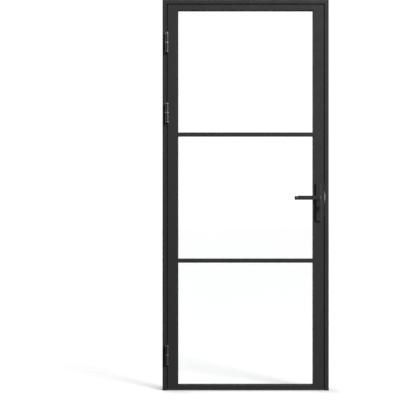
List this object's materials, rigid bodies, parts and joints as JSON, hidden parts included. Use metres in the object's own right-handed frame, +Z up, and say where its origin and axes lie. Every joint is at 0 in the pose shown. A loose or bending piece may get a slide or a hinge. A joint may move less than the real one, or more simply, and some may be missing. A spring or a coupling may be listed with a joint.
{
  "type": "framed glass door",
  "caption": "Steel-framed glass door in its own frame: slim black leaf with glass panes, pin hinges, narrow mortise lock and lever handles on long plates.",
  "frame": {"origin": "on the floor under the middle of the frame, in the mid-plane of the leaf", "axes": "+X across the width towards the lock side, +Y through the door from the opening side to the stop side, +Z up"},
  "size_m": [0.915, 0.16, 2.15],
  "materials": {
    "black_coat": "fine-textured matt powder coat",
    "hinge_coat": "satin powder coat",
    "handle_coat": "satin powder coat",
    "clear_glass": "clear float glass",
    "seal_rubber": "matt rubber",
    "steel": "satin stainless",
    "zinc_case": "galvanised",
    "cylinder_black": "matt black nickel plating",
    "nylon": "moulded"
  },
  "bodies": {
    "frame": {"hinge_jamb": "black_coat", "lock_jamb": "black_coat", "head_profile": "black_coat", "hinge_side_seal": "seal_rubber", "lock_side_seal": "seal_rubber", "head_seal": "seal_rubber", "bottom_hinge_frame_wing": "hinge_coat", "middle_hinge_frame_wing": "hinge_coat", "top_hinge_frame_wing": "hinge_coat", "bottom_hinge_pin": "steel", "middle_hinge_pin": "steel", "top_hinge_pin": "steel", "bottom_hinge_ring": "steel", "middle_hinge_ring": "steel", "top_hinge_ring": "steel", "hinge_frame_screws": "steel", "strike_plate": "steel", "strike_screws": "steel"},
    "leaf": {"bottom_hinge_leaf_wing": "hinge_coat", "middle_hinge_leaf_wing": "hinge_coat", "top_hinge_leaf_wing": "hinge_coat", "hinge_leaf_screws": "steel", "hinge_stile": "black_coat", "lock_stile": "black_coat", "top_rail": "black_coat", "bottom_rail": "black_coat", "lower_bar": "black_coat", "upper_bar": "black_coat", "lower_pane": "clear_glass", "middle_pane": "clear_glass", "upper_pane": "clear_glass", "lower_gasket": "seal_rubber", "middle_gasket": "seal_rubber", "upper_gasket": "seal_rubber", "lower_beads": "black_coat", "middle_beads": "black_coat", "upper_beads": "black_coat", "setting_blocks": "seal_rubber", "lock_case": "zinc_case", "lock_cover": "zinc_case", "faceplate": "steel", "faceplate_screws": "steel", "latch_spring": "steel", "cylinder_body": "cylinder_black", "cylinder_screw": "steel", "front_plate": "handle_coat", "back_plate": "handle_coat", "front_bush": "nylon", "back_bush": "nylon", "plate_bolts": "steel"},
    "lever_set": {"front_lever": "handle_coat", "back_lever": "handle_coat", "spindle": "steel", "follower": "steel", "grub_screws": "steel"},
    "latch": {"latch_bolt": "steel"},
    "bolt": {"dead_bolt": "steel"},
    "key_core": {"cylinder_front_plug": "cylinder_black", "cylinder_cam": "cylinder_black"},
    "back_core": {"cylinder_back_plug": "cylinder_black"}
  },
  "joints": [
    {"name": "door_swing", "type": "hinge", "parent": "frame", "child": "leaf", "pos_m": [-0.43225, -0.0305, 0.197], "axis": [0, 0, -1], "range_deg": [0, 170]},
    {"name": "lever_turn", "type": "hinge", "parent": "leaf", "child": "lever_set", "pos_m": [0.4, 0, 1.06], "axis": [0, -1, 0], "range_deg": [0, 40], "stiffness_Nm_per_rad": 1.2, "springref_deg": -45.84},
    {"name": "latch_slide", "type": "slide", "parent": "leaf", "child": "latch", "axis": [-1, 0, 0], "range_m": [0, 0.0105], "deforming": ["latch_spring"]},
    {"name": "key_turn", "type": "hinge", "parent": "leaf", "child": "key_core", "pos_m": [0.4, -0.035, 1.005], "axis": [0, 1, 0], "range_deg": [0, 360]},
    {"name": "bolt_slide", "type": "slide", "parent": "leaf", "child": "bolt", "axis": [1, 0, 0], "range_m": [0, 0.014]},
    {"name": "back_key_turn", "type": "hinge", "parent": "leaf", "child": "back_core", "pos_m": [0.4, 0.035, 1.005], "axis": [0, 1, 0], "range_deg": [0, 360]}
  ],
  "couplings": [
    {"joint": "latch_slide", "follows": "lever_turn", "m_per_rad": 0.015},
    {"joint": "key_turn", "follows": "bolt_slide", "rad_per_m": 448.79}
  ]
}
